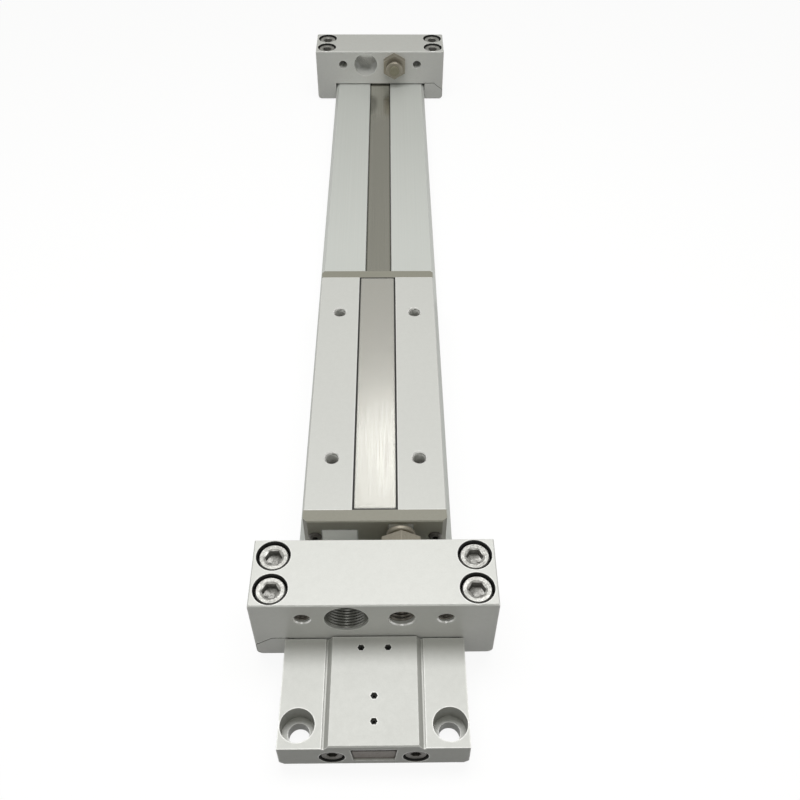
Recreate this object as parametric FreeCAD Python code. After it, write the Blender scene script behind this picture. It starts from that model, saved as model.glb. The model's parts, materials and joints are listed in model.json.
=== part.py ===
import FreeCAD, Part
import math
import os

from FreeCAD import Vector

# A flat slit-type rodless cylinder: an extruded tube, a slide table and two clamp-on stroke stops.
# Millimetres. X is across, Y along the stroke with the near end at -Y, Z up from the mounting face.

# Clearances
running_gap = 0.3
seat_gap = 0.05
thread_gap = 0.1
edge_break = 0.4

# Stroke, and the room left for each stop between table and stop holder
stroke = 200.0
stop_room = 9.2

# Tube extrusion
tube_width = 54.4
tube_top_width = 50.8
tube_edge_height = 1.8
tube_wall = 1.6
bore_width = 19.6
bore_height = 6.2
slot_width = 4.4
slot_lip = 1.1
belt_recess_width = 12.6
belt_recess_depth = 1.1
side_groove_height = 3.2
side_groove_depth = 2.6

# Belts, and the magnets that hold the outer one down
dust_belt_width = 12.0
dust_belt_thickness = 0.25
seal_belt_width = 7.0
seal_belt_thickness = 0.4
belt_bend_radius = 40.0
magnet_width = 3.0
magnet_thickness = 0.6

# Head covers
head_length = 35.45
head_width = 57.7
head_step = 1.15
head_corner = 1.5
head_gap = 0.5
pad_width = 26.9
pad_rise = 1.35
pad_slope_run = 1.4
pad_groove_width = 0.7
pad_groove_depth = 0.6
mount_spacing = 46.2
mount_inset = 7.26
mount_hole_radius = 3.3
mount_bore_radius = 5.3
mount_bore_depth = 6.6
port_radius = 2.5
port_depth = 5.0
port_inset = 24.0
port_height = 6.0

# Belt clamp in the head cover's end face, and its set screws
clamp_depth = 20.0
clamp_top_width = 14.1
clamp_bottom_width = 12.4
clamp_floor = 2.2
clamp_setback = 0.6
belt_end_inset = 2.5
set_screw_socket = 2.0
clamp_screw_insets = (7.7, 15.7)
belt_screw_inset = 31.7
belt_screw_spacing = 8.6

# Heads of the screws that hold the head covers to the tube
end_screw_spacing = 25.3
end_screw_head_radius = 3.5
end_screw_head_height = 4.0
end_screw_bore_radius = 4.0
end_screw_bore_depth = 4.6
end_screw_socket = 3.0

# Stop holders
holder_width = 78.0
holder_depth = 24.4
holder_body = 20.2
holder_gap = 0.8
holder_foot = 0.8
holder_corner = 2.2
leg_gap = 0.4
joint_rise = 0.4
joint_flat = 5.8
joint_slope = 37.0
joint_gap = 0.3
nose_reach = 2.1
nose_gap = 0.2
bar_wall = 2.2
bar_end_wall = 1.6
holder_screw_spacing_x = 64.8
holder_screw_spacing_y = 12.2
holder_screw_head_radius = 4.9
holder_screw_head_height = 6.0
holder_screw_bore_radius = 5.6
holder_screw_bore_depth = 6.8
holder_screw_socket = 5.0

# Holes in the stop holders, all on one level
axis_drop = 8.2
stop_spacing = 17.56
absorber_radius = 7.0
stop_radius = 4.0
side_hole_spacing = 45.4
side_hole_radius = 2.5
hole_chamfer = 0.5

# Stop bolts
bolt_recess = 8.0
bolt_socket = 4.0
bolt_cap_radius = 5.0
bolt_cap_length = 1.7
bolt_tip_radius = 3.0
bolt_tip_length = 1.0
nut_across_flats = 13.0
nut_thickness = 4.0
nut_turn = 30.0

# Slide table
table_width = 48.9
table_length = 125.5
table_height = 16.8
table_lift = 1.1
table_hole_spacing_x = 31.4
table_hole_spacing_y = 79.5
table_hole_radius = 2.5
table_hole_depth = 9.0
strip_width = 14.8
strip_thickness = 1.5
strip_gap = 0.45
channel_width = 13.8
web_length = 50.0
web_thickness = 4.0
bearing_width = 13.0
bearing_length = 24.0
bearing_inset = 3.0
bearing_depth = 1.2
bearing_offset = 15.8

# Table end covers, stop plates and scrapers
cover_thickness = 4.85
cover_corner = 1.5
cover_lift = 0.6
plate_thickness = 2.0
plate_width = 37.6
plate_margin = 1.2
absorber_window = (-18.4, -5.8)
absorber_window_drop = 4.6
stop_window_half = 4.4
stop_window_rise = 3.6
window_floor = 1.6
scraper_thickness = 2.0
scraper_height = 2.0
scraper_margin = 0.9

# Yoke, belt separators and piston
yoke_gap = 0.4
yoke_floor = 1.1
belt_tunnel_width = 8.6
belt_tunnel_height = 1.8
flange_width = 30.0
flange_thickness = 3.8
dip_lead = 5.0
dip_margin = 8.75
ramp_lead = 8.5
ramp_margin = 4.75
separator_margin = 5.75
separator_lead = 2.0
piston_head_length = 16.0
piston_end_gap = 2.0
piston_tongue_width = 11.0
piston_tongue_height = 2.4
piston_tongue_length = 6.0
piston_seal_width = 2.4
magnet_pocket = (5.0, 2.6, 3.0)

# Levels, worked out from the sizes above
bore_mid = tube_wall + bore_height / 2
bore_top = tube_wall + bore_height
recess_floor = bore_top + slot_lip
tube_top = recess_floor + belt_recess_depth
side_groove_bottom = (tube_top - side_groove_height) / 2
seal_belt_bottom = bore_top + seat_gap
seal_belt_top = seal_belt_bottom + seal_belt_thickness
dust_belt_bottom = recess_floor + magnet_thickness + seat_gap
dust_belt_top = dust_belt_bottom + dust_belt_thickness
head_top = tube_top + head_step
pad_top = head_top + pad_rise
holder_underside = tube_top + holder_gap
holder_top = holder_underside + holder_body
joint_level = holder_underside + joint_rise
stop_axis = holder_top - axis_drop
table_bottom = tube_top + table_lift
table_top = table_bottom + table_height
cover_bottom = tube_top + cover_lift
strip_bottom = table_top - strip_thickness
flange_bottom = table_bottom + seat_gap
flange_top = flange_bottom + flange_thickness
web_bottom = flange_top + seat_gap
web_top = web_bottom + web_thickness
belt_crest = web_top + running_gap + dust_belt_thickness / 2
yoke_width = bore_width - 2 * yoke_gap
yoke_height = bore_height - 2 * yoke_gap
yoke_bottom = tube_wall + yoke_gap
yoke_top = bore_top - yoke_gap
tunnel_floor = yoke_bottom + yoke_floor
tunnel_top = tunnel_floor + belt_tunnel_height
belt_dip = (tunnel_floor + tunnel_top) / 2

# Stations along the stroke, as distances from the middle
table_half = table_length / 2
cover_face = table_half + cover_thickness
holder_inner = cover_face + stop_room + stroke / 2
holder_outer = holder_inner + holder_depth
holder_mid = (holder_inner + holder_outer) / 2
tube_half = holder_outer + head_gap
head_outer = tube_half + head_length
belt_end = head_outer - belt_end_inset
table_rest = -stroke / 2
piston_half = tube_half - piston_end_gap - stroke / 2
piston_joint = piston_half - piston_head_length
dip_inner = web_length / 2 + dip_lead
dip_outer = table_half - dip_margin
ramp_inner = web_length / 2 + ramp_lead
ramp_outer = table_half - ramp_margin

# Half widths
leg_inner = tube_width / 2 + leg_gap
holder_half = holder_width / 2
stop_x = stop_spacing / 2
absorber_x = -stop_x

# Directions, and how near two points count as one
same_point = 1e-6
ALONG_X = Vector(1, 0, 0)
ALONG_Y = Vector(0, 1, 0)
ALONG_Z = Vector(0, 0, 1)


# Shape helpers

def box(x_span, y_span, z_span):
    """A box between two values on each axis."""
    size = [max(span) - min(span) for span in (x_span, y_span, z_span)]
    return Part.makeBox(*size, Vector(min(x_span), min(y_span), min(z_span)))


def centred(width, y_span, z_span):
    """A box of one width, centred across the cylinder."""
    return box((-width / 2, width / 2), y_span, z_span)


def rod(radius, start, end):
    """A round bar between two points."""
    start = Vector(*start)
    run = Vector(*end) - start
    return Part.makeCylinder(radius, run.Length, start, run)


def countersink(radius, mouth, inward, size=hole_chamfer):
    """The cone that breaks the edge of a hole, at its mouth."""
    return Part.makeCone(radius + size, radius, size, Vector(*mouth), inward)


def hexagon(across_flats, start, direction, depth, turn=0.0):
    """A hexagonal bar along Y or Z, with one corner turned from the X axis by turn degrees."""
    radius = across_flats / math.sqrt(3)
    points = []
    for k in range(7):
        angle = math.radians(60 * k + turn)
        side = Vector(radius * math.cos(angle), 0, radius * math.sin(angle))
        if direction.z:
            side = Vector(side.x, side.z, 0)
        points.append(Vector(*start) + side)
    face = Part.Face(Part.makePolygon(points))
    return face.extrude(direction * depth)


def rounded(corners, place):
    """A closed wire through (u, v, radius) corners, with an arc wherever the radius isn't zero."""
    edges = []
    stations = []
    for i, (u, v, radius) in enumerate(corners):
        here = Vector(u, v, 0)
        before = Vector(*corners[i - 1][:2], 0) - here
        after = Vector(*corners[(i + 1) % len(corners)][:2], 0) - here
        if radius == 0:
            stations.append((here, None, here))
            continue
        before.normalize()
        after.normalize()
        half = before.getAngle(after) / 2
        inward = before + after
        inward.normalize()
        reach = radius / math.tan(half)
        middle = here + inward * (radius / math.sin(half) - radius)
        stations.append((here + before * reach, middle, here + after * reach))
    for i, (start, middle, end) in enumerate(stations):
        if middle is not None:
            edges.append(Part.Arc(place(start), place(middle), place(end)).toShape())
        following = stations[(i + 1) % len(stations)][0]
        if end.distanceToPoint(following) > same_point:
            edges.append(Part.LineSegment(place(end), place(following)).toShape())
    return Part.Wire(edges)


def prism_y(corners, y_span):
    """A profile of (x, z) or (x, z, radius) corners, drawn out along Y."""
    full = [tuple(c) + (0,) * (3 - len(c)) for c in corners]
    wire = rounded(full, lambda p: Vector(p.x, min(y_span), p.y))
    return Part.Face(wire).extrude(ALONG_Y * (max(y_span) - min(y_span)))


def prism_x(corners, width):
    """A profile of (y, z) corners, drawn out to a width across the cylinder."""
    full = [tuple(c) + (0,) * (3 - len(c)) for c in corners]
    wire = rounded(full, lambda p: Vector(-width / 2, p.x, p.y))
    return Part.Face(wire).extrude(ALONG_X * width)


def oval(width, height, y_span, middle=bore_mid):
    """A flat bar with round sides, the form of the bore and of all that fits it."""
    flat = (width - height) / 2
    start = min(y_span)

    def at(x, z):
        return Vector(x, start, middle + z)

    rim = height / 2
    edges = [Part.LineSegment(at(-flat, -rim), at(flat, -rim)).toShape(),
             Part.Arc(at(flat, -rim), at(width / 2, 0), at(flat, rim)).toShape(),
             Part.LineSegment(at(flat, rim), at(-flat, rim)).toShape(),
             Part.Arc(at(-flat, rim), at(-width / 2, 0), at(-flat, -rim)).toShape()]
    return Part.Face(Part.Wire(edges)).extrude(ALONG_Y * (max(y_span) - start))


def ribbon(path, thickness, width, radius=belt_bend_radius):
    """A belt of even thickness along (y, z) points, with every bend rounded."""
    points = [Vector(y, z, 0) for y, z in path]
    runs = [b - a for a, b in zip(points, points[1:])]
    for run in runs:
        run.normalize()
    normals = [Vector(-run.y, run.x, 0) for run in runs]
    stations = [(points[0], normals[0], None)]
    for i in range(1, len(points) - 1):
        turn = runs[i - 1].getAngle(runs[i])
        reach = radius * math.tan(turn / 2)
        lean = normals[i - 1] + normals[i]
        lean.normalize()
        rise = 1 if runs[i].y > runs[i - 1].y else -1
        middle = points[i] + lean * rise * radius * (1 / math.cos(turn / 2) - 1)
        stations.append((points[i] - runs[i - 1] * reach, normals[i - 1], (middle, lean)))
        stations.append((points[i] + runs[i] * reach, normals[i], None))
    stations.append((points[-1], normals[-1], None))

    def side(offset):
        edges = []
        for (start, normal, bend), (end, end_normal, _) in zip(stations, stations[1:]):
            a = start + normal * offset
            b = end + end_normal * offset
            if bend is None:
                edges.append((a, None, b))
            else:
                edges.append((a, bend[0] + bend[1] * offset, b))
        return edges

    def place(p):
        return Vector(-width / 2, p.x, p.y)

    lower = side(-thickness / 2)
    upper = side(thickness / 2)
    outline = lower + [(lower[-1][2], None, upper[-1][2])]
    outline += [(b, m, a) for a, m, b in reversed(upper)]
    outline += [(upper[0][0], None, lower[0][0])]
    edges = []
    for a, m, b in outline:
        if m is None:
            edges.append(Part.LineSegment(place(a), place(b)).toShape())
        else:
            edges.append(Part.Arc(place(a), place(m), place(b)).toShape())
    return Part.Face(Part.Wire(edges)).extrude(ALONG_X * width)


def break_edges(shape, keep, size=edge_break):
    """Chamfers the straight edges whose middle point passes the test."""
    edges = [e for e in shape.Edges if isinstance(e.Curve, Part.Line) and keep(e.CenterOfMass)]
    return shape.makeChamfer(size, edges)


def fuse(first, *others):
    return first.fuse(list(others)).removeSplitter()


def carve(shape, *tools):
    return shape.cut(list(tools)).removeSplitter()


def far_end(shape):
    """The copy of a piece at the other end of the cylinder or table."""
    return shape.mirror(Vector(0, 0, 0), ALONG_Y)


def group(solids):
    return Part.makeCompound(list(solids))


def screw_head(radius, height, socket, seat, direction):
    """The head of a socket screw: seat is the middle of its underside, direction the way it screws in."""
    top = Vector(*seat) - direction * height
    head = Part.makeCylinder(radius, height, top, direction)
    return head.cut(hexagon(socket, top, direction, height / 2))


# Tube and what lies in its slot

def cylinder_tube():
    half = tube_width / 2
    top_half = tube_top_width / 2
    shoulder = tube_top - tube_edge_height
    ends = (-tube_half, tube_half)
    body = prism_y([(-half, 0), (half, 0), (half, shoulder), (top_half, tube_top),
                    (-top_half, tube_top), (-half, shoulder)], ends)
    cuts = [oval(bore_width, bore_height, ends),
            centred(slot_width, ends, (bore_mid, tube_top)),
            centred(seal_belt_width + 2 * running_gap, ends, (bore_mid, seal_belt_top + seat_gap)),
            centred(belt_recess_width, ends, (recess_floor, tube_top))]
    chamber_inner = end_screw_spacing / 2 + end_screw_bore_radius
    chamber_outer = half - side_groove_depth - tube_wall
    groove = (side_groove_bottom, side_groove_bottom + side_groove_height)
    for side in (-1, 1):
        cuts.append(box((side * (half - side_groove_depth), side * half), ends, groove))
        cuts.append(box((side * chamber_inner, side * chamber_outer), ends,
                        (tube_wall, tube_top - tube_wall - tube_edge_height)))
    return carve(body, *cuts)


def seal_magnets():
    inner = slot_width / 2 + running_gap
    ends = (-tube_half, tube_half)
    level = (recess_floor, recess_floor + magnet_thickness)
    return group(box((side * inner, side * (inner + magnet_width)), ends, level) for side in (-1, 1))


def lifted_path(level, crest, inner, outer):
    """A belt's route: along the tube, off its level inside the table, and back again."""
    return [(-belt_end, level), (table_rest - outer, level), (table_rest - inner, crest),
            (table_rest + inner, crest), (table_rest + outer, level), (belt_end, level)]


def dust_belt():
    level = (dust_belt_bottom + dust_belt_top) / 2
    return ribbon(lifted_path(level, belt_crest, ramp_inner, ramp_outer),
                  dust_belt_thickness, dust_belt_width)


def seal_belt():
    level = (seal_belt_bottom + seal_belt_top) / 2
    return ribbon(lifted_path(level, belt_dip, dip_inner, dip_outer),
                  seal_belt_thickness, seal_belt_width)


# Near head cover and its fittings

def end_screw_places():
    return [(side * end_screw_spacing / 2, bore_mid) for side in (-1, 1)]


def set_screw_places():
    places = [(0, -head_outer + inset) for inset in clamp_screw_insets]
    places += [(side * belt_screw_spacing / 2, -head_outer + belt_screw_inset) for side in (-1, 1)]
    return places


def clamp_profile(gap, bottom, top):
    """Trapezium of the belt-clamp cavity, drawn in by a gap, between two levels."""
    cavity_top = dust_belt_top + running_gap

    def half(level):
        share = (level - clamp_floor) / (cavity_top - clamp_floor)
        return (clamp_bottom_width + share * (clamp_top_width - clamp_bottom_width)) / 2 - gap

    return [(-half(bottom), bottom), (half(bottom), bottom), (half(top), top), (-half(top), top)]


def head_cover():
    half = head_width / 2
    pad_half = pad_width / 2
    slope_end = pad_half + pad_slope_run
    flat_start = slope_end + pad_groove_width
    groove = head_top - pad_groove_depth
    right = [(half - head_corner, 0), (half, head_corner), (half, head_top), (flat_start, head_top),
             (flat_start, groove), (slope_end, groove), (pad_half, pad_top)]
    left = [(-x, *rest) for x, *rest in reversed(right)]
    body = prism_y(right + left, (-head_outer, -tube_half))
    front = -head_outer + seat_gap
    body = break_edges(body, lambda p: p.y < front and abs(p.x) < pad_half and p.z > head_top)
    return carve(body, *head_cover_cuts())


def head_cover_cuts():
    cavity_top = dust_belt_top + running_gap
    cavity_end = -head_outer + clamp_depth
    cuts = [prism_y(clamp_profile(0, clamp_floor, cavity_top), (-head_outer, cavity_end)),
            centred(dust_belt_width + 2 * running_gap, (cavity_end, -tube_half),
                    (dust_belt_bottom - running_gap, cavity_top)),
            centred(seal_belt_width + 2 * running_gap, (cavity_end, -tube_half),
                    (seal_belt_bottom - seat_gap, cavity_top))]
    for side in (-1, 1):
        x = side * mount_spacing / 2
        y = -head_outer + mount_inset
        cuts.append(rod(mount_hole_radius, (x, y, 0), (x, y, head_top)))
        cuts.append(rod(mount_bore_radius, (x, y, head_top - mount_bore_depth), (x, y, head_top)))
    port_y = -head_outer + port_inset
    port_x = head_width / 2
    cuts.append(rod(port_radius, (port_x, port_y, port_height), (port_x - port_depth, port_y, port_height)))
    for x, z in end_screw_places():
        cuts.append(rod(end_screw_bore_radius, (x, -head_outer, z),
                        (x, -head_outer + end_screw_bore_depth, z)))
    for x, y in set_screw_places():
        cuts.append(hexagon(set_screw_socket, (x, y, pad_top), -ALONG_Z, pad_top - dust_belt_top))
    return cuts


def head_cover_screws():
    seat_y = -head_outer + end_screw_bore_depth
    return group(screw_head(end_screw_head_radius, end_screw_head_height, end_screw_socket,
                            (x, seat_y, z), ALONG_Y)
                 for x, z in end_screw_places())


def belt_clamp():
    """The wedge under the belts' ends and the spacer between the two belts."""
    span = (-head_outer + clamp_setback, -head_outer + clamp_depth - seat_gap)
    wedge = prism_y(clamp_profile(seat_gap, clamp_floor, seal_belt_bottom - seat_gap), span)
    spacer = centred(dust_belt_width, span, (seal_belt_top + seat_gap, dust_belt_bottom - seat_gap))
    return group([wedge, spacer])


# Near stop holder and its fittings; clamp_side is the side of its loose wedge clamp

def joint_line(gap):
    """Corners of the sloped joint between holder and wedge clamp, from the tube outwards."""
    level = joint_level - gap
    knee = leg_inner + joint_flat
    return [(leg_inner, level), (knee, level),
            (holder_half, level - (holder_half - knee) * math.tan(math.radians(joint_slope)))]


def toward(side, corners):
    return [(side * x, *rest) for x, *rest in corners]


def clamp_nose(side, y_span):
    """The tongue of a clamp that enters the groove in the tube's side."""
    tip = tube_width / 2 - nose_reach
    z_span = (side_groove_bottom + nose_gap, side_groove_bottom + side_groove_height - nose_gap)
    return box((side * tip, side * leg_inner), y_span, z_span)


def holder_screw_places(side):
    return [(side * holder_screw_spacing_x / 2, -holder_mid + end * holder_screw_spacing_y / 2)
            for end in (-1, 1)]


def stop_holder(clamp_side):
    leg = [(leg_inner, holder_underside), (leg_inner, holder_foot),
           (holder_half, holder_foot, holder_corner), (holder_half, holder_top)]
    loose = [(leg_inner, holder_underside)] + joint_line(0) + [(holder_half, holder_top)]
    outline = toward(-clamp_side, leg) + list(reversed(toward(clamp_side, loose)))
    span = (-holder_outer, -holder_inner)
    body = prism_y(outline, span)
    body = break_edges(body, lambda p: p.z > holder_top - seat_gap)
    return carve(body, *holder_cuts(clamp_side))


def holder_cuts(clamp_side):
    cuts = []
    bar_side = -clamp_side
    pocket_y = (-holder_outer + bar_end_wall, -holder_inner - bar_end_wall)
    cuts.append(box((bar_side * leg_inner, bar_side * (holder_half - bar_wall)), pocket_y,
                    (holder_foot, joint_level)))
    seat = holder_top - holder_screw_bore_depth
    for x, y in holder_screw_places(-1) + holder_screw_places(1):
        cuts.append(rod(holder_screw_bore_radius, (x, y, seat), (x, y, holder_top)))
    chamfered = [(stop_x, stop_radius)]
    chamfered += [(side * side_hole_spacing / 2, side_hole_radius) for side in (-1, 1)]
    for x, radius in [(absorber_x, absorber_radius)] + chamfered:
        cuts.append(rod(radius, (x, -holder_outer, stop_axis), (x, -holder_inner, stop_axis)))
    for x, radius in chamfered:
        cuts.append(countersink(radius, (x, -holder_outer, stop_axis), ALONG_Y))
    return cuts


def wedge_clamp(clamp_side):
    corners = [(leg_inner, holder_foot), (holder_half, holder_foot, holder_corner)]
    corners += list(reversed(joint_line(joint_gap)))
    span = (-holder_outer, -holder_inner)
    return fuse(prism_y(toward(clamp_side, corners), span), clamp_nose(clamp_side, span))


def clamp_bar(clamp_side):
    side = -clamp_side
    span = (-holder_outer + bar_end_wall + seat_gap, -holder_inner - bar_end_wall - seat_gap)
    body = box((side * leg_inner, side * (holder_half - bar_wall - seat_gap)), span,
               (holder_foot, joint_level - joint_gap))
    return fuse(body, clamp_nose(side, span))


def holder_screws():
    seat = holder_top - holder_screw_bore_depth
    return group(screw_head(holder_screw_head_radius, holder_screw_head_height, holder_screw_socket,
                            (x, y, seat), -ALONG_Z)
                 for x, y in holder_screw_places(-1) + holder_screw_places(1))


def stop_tip_y():
    """Where the near stop meets the table's stop plate, with the running gap kept."""
    return table_rest - cover_face - running_gap


def stop_bolt():
    tail = -holder_outer + bolt_recess
    cap_front = stop_tip_y() - bolt_tip_length
    cap_back = cap_front - bolt_cap_length
    thread = rod(stop_radius - thread_gap, (stop_x, tail, stop_axis), (stop_x, cap_back, stop_axis))
    cap = rod(bolt_cap_radius, (stop_x, cap_back, stop_axis), (stop_x, cap_front, stop_axis))
    drive = hexagon(bolt_socket, (stop_x, tail, stop_axis), ALONG_Y, bolt_socket)
    return carve(fuse(thread, cap), drive)


def bolt_bumper():
    tip = stop_tip_y()
    return rod(bolt_tip_radius, (stop_x, tip - bolt_tip_length, stop_axis), (stop_x, tip, stop_axis))


def jam_nut():
    middle = (stop_x, -holder_inner, stop_axis)
    nut = hexagon(nut_across_flats, middle, ALONG_Y, nut_thickness, nut_turn)
    corner = nut_across_flats / math.sqrt(3)
    barrel = Part.makeCone(corner + nut_thickness, corner - edge_break, nut_thickness + edge_break,
                           Vector(*middle), ALONG_Y)
    hole = rod(stop_radius, middle, (stop_x, -holder_inner + nut_thickness, stop_axis))
    return carve(nut.common(barrel), hole)


# Slide table and what it carries, drawn about the table's own middle

def table_hole_places():
    return [(i * table_hole_spacing_x / 2, j * table_hole_spacing_y / 2) for i in (-1, 1) for j in (-1, 1)]


def bearing_places():
    y = table_half - bearing_inset - bearing_length / 2
    return [(i * bearing_offset, j * y) for i in (-1, 1) for j in (-1, 1)]


def bearing_pad(x, y, gap, bottom):
    half_x = bearing_width / 2 - gap
    half_y = bearing_length / 2 - gap
    return box((x - half_x, x + half_x), (y - half_y, y + half_y), (bottom, table_bottom + bearing_depth))


def slide_table():
    span = (-table_half, table_half)
    half = table_width / 2
    body = break_edges(centred(table_width, span, (table_bottom, table_top)),
                       lambda p: abs(p.x) > half - seat_gap and abs(p.y) < seat_gap)
    rebate = strip_width + 2 * strip_gap
    cuts = [centred(rebate, span, (strip_bottom, table_top)),
            centred(channel_width, span, (web_top, table_top)),
            centred(channel_width, (-table_half, -web_length / 2), (table_bottom, table_top)),
            centred(channel_width, (web_length / 2, table_half), (table_bottom, table_top)),
            centred(flange_width + 2 * seat_gap, (-web_length / 2, web_length / 2),
                    (table_bottom, web_bottom))]
    for x, y in table_hole_places():
        cuts.append(rod(table_hole_radius, (x, y, table_top - table_hole_depth), (x, y, table_top)))
        cuts.append(countersink(table_hole_radius, (x, y, table_top), -ALONG_Z))
    for x, y in bearing_places():
        cuts.append(bearing_pad(x, y, 0, table_bottom))
    return carve(body, *cuts)


def cover_plate():
    half = table_half - strip_gap
    plate = centred(strip_width, (-half, half), (strip_bottom, table_top))
    return break_edges(plate, lambda p: p.z > table_top - seat_gap, edge_break / 2)


def bearing_pads():
    return group(bearing_pad(x, y, seat_gap, tube_top + seat_gap) for x, y in bearing_places())


def window_spans():
    """The two openings in an end cover, where the absorber and the stop bolt strike."""
    floor = cover_bottom + scraper_height + window_floor
    return [(absorber_window, (floor, table_top - absorber_window_drop)),
            ((stop_x - stop_window_half, stop_x + stop_window_half), (floor, stop_axis + stop_window_rise))]


def scraper_span(gap):
    middle = -table_half - cover_thickness / 2
    return (middle - scraper_thickness / 2 + gap, middle + scraper_thickness / 2 - gap)


def end_cover():
    span = (-cover_face, -table_half)
    body = centred(table_width, span, (cover_bottom, table_top))
    side = table_width / 2 - seat_gap
    body = break_edges(body, lambda p: p.y < -cover_face + seat_gap and abs(p.x) > side, cover_corner)
    body = break_edges(body, lambda p: p.y < -cover_face + seat_gap and p.z > table_top - seat_gap)
    plate_y = (-table_half - plate_thickness - seat_gap, -table_half)
    plate_z = (cover_bottom + scraper_height + plate_margin, table_top - plate_margin)
    cuts = [centred(plate_width + 2 * seat_gap, plate_y, plate_z),
            centred(table_width, scraper_span(0), (cover_bottom, cover_bottom + scraper_height))]
    for x_span, z_span in window_spans():
        cuts.append(box(x_span, span, z_span))
    return carve(body, *cuts)


def stop_plate():
    """A steel plate behind the end cover, with a land in each window that stands flush with it."""
    z_span = (cover_bottom + scraper_height + plate_margin + seat_gap, table_top - plate_margin - seat_gap)
    plate = centred(plate_width, (-table_half - plate_thickness, -table_half), z_span)
    lands = []
    for x_span, (low, high) in window_spans():
        lands.append(box((x_span[0] + seat_gap, x_span[1] - seat_gap), (-cover_face, -table_half),
                         (low + seat_gap, high - seat_gap)))
    return fuse(plate, *lands)


def scraper():
    return centred(table_width - 2 * scraper_margin, scraper_span(seat_gap),
                   (tube_top + seat_gap, cover_bottom + scraper_height - seat_gap))


def yoke():
    """The bridge through the slot: body in the bore, neck between the belts, flange in the table."""
    half = web_length / 2
    inner = centred(bore_width - bore_height, (-piston_joint, piston_joint), (yoke_bottom, yoke_top))
    tunnel = centred(belt_tunnel_width, (-piston_joint, piston_joint), (tunnel_floor, yoke_top))
    bridge = centred(belt_tunnel_width, (-half, half), (tunnel_top, yoke_top))
    neck = centred(slot_width - 2 * running_gap, (-half, half), (tunnel_top, flange_top))
    flange = centred(flange_width, (-half, half), (flange_bottom, flange_top))
    tongue = centred(piston_tongue_width,
                     (piston_joint - piston_tongue_length, piston_joint + piston_tongue_length),
                     (bore_mid - piston_tongue_height / 2, bore_mid + piston_tongue_height / 2))
    return fuse(inner.cut(tunnel), bridge, neck, flange, tongue, far_end(tongue))


def belt_separator():
    """The blade in the slot that lifts the dust belt over the yoke and holds the seal belt under it."""
    inner = web_length / 2
    nose = table_half - separator_margin
    level = (dust_belt_bottom + dust_belt_top) / 2
    slope = (belt_crest - level) / (ramp_outer - ramp_inner)
    bend = belt_bend_radius * math.tan(math.atan(slope) / 2)
    shoulder = ramp_inner + bend
    shoulder_top = belt_crest - slope * bend - dust_belt_thickness - running_gap
    low = belt_dip + seal_belt_thickness / 2 + running_gap
    corners = [(inner, low), (dip_inner - running_gap, low),
               (dip_outer - separator_lead, seal_belt_top + running_gap),
               (nose, seal_belt_top + running_gap), (nose, recess_floor + running_gap),
               (shoulder, shoulder_top), (inner, shoulder_top)]
    return prism_x(corners, slot_width - 2 * running_gap)


def magnet_bar(gap):
    width, height, length = magnet_pocket
    start = piston_joint + piston_tongue_length + seat_gap
    return centred(width - 2 * gap, (start, start + length - gap),
                   (bore_mid - height / 2 + gap, bore_mid + height / 2 - gap))


def piston_head():
    body = oval(yoke_width, yoke_height, (piston_joint, piston_half - piston_seal_width))
    slot_half = piston_tongue_height / 2 + seat_gap
    slot = centred(piston_tongue_width + 2 * seat_gap,
                   (piston_joint, piston_joint + piston_tongue_length + seat_gap),
                   (bore_mid - slot_half, bore_mid + slot_half))
    return carve(body, slot, magnet_bar(0))


def piston_seal():
    """The cup on the piston's end face, which fills the bore."""
    return oval(bore_width - 2 * running_gap, bore_height - 2 * running_gap,
                (piston_half - piston_seal_width, piston_half))


# Write every node

def base_nodes():
    near = {"belt_clamp": belt_clamp(), "stop_bolt": stop_bolt(), "bolt_bumper": bolt_bumper()}
    pairs = {"head_covers": head_cover(), "head_cover_screws": head_cover_screws(),
             "holder_screws": holder_screws(), "jam_nuts": jam_nut()}
    handed = {"stop_holder": stop_holder, "wedge_clamp": wedge_clamp, "clamp_bar": clamp_bar}
    nodes = {"cylinder_tube": cylinder_tube(), "seal_magnets": seal_magnets(),
             "dust_belt": dust_belt(), "seal_belt": seal_belt()}
    for name, shape in near.items():
        nodes[name + "_near"] = shape
        nodes[name + "_far"] = far_end(shape)
    for name, shape in pairs.items():
        nodes[name] = group([*shape.Solids, *far_end(shape).Solids])
    for name, build in handed.items():
        nodes[name + "_near"] = build(-1)
        nodes[name + "_far"] = far_end(build(1))
    return nodes


def table_nodes():
    nodes = {"slide_table": slide_table(), "cover_plate": cover_plate(), "bearing_pads": bearing_pads(),
             "yoke": yoke()}
    near = {"end_cover": end_cover(), "stop_plate": stop_plate(), "scraper": scraper()}
    for name, shape in near.items():
        nodes[name + "_near"] = shape
        nodes[name + "_far"] = far_end(shape)
    far = {"belt_separators": belt_separator(), "piston_heads": piston_head(),
           "piston_seals": piston_seal(), "piston_magnets": magnet_bar(seat_gap)}
    for name, shape in far.items():
        nodes[name] = group([shape, far_end(shape)])
    for shape in nodes.values():
        shape.translate(ALONG_Y * table_rest)
    return nodes


os.makedirs("parts", exist_ok=True)
for node, shape in {**base_nodes(), **table_nodes()}.items():
    shape.exportStep("parts/" + node + ".step")
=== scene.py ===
import json
import math
from collections import namedtuple

import bmesh
import bpy
from mathutils import Matrix, Vector


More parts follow.
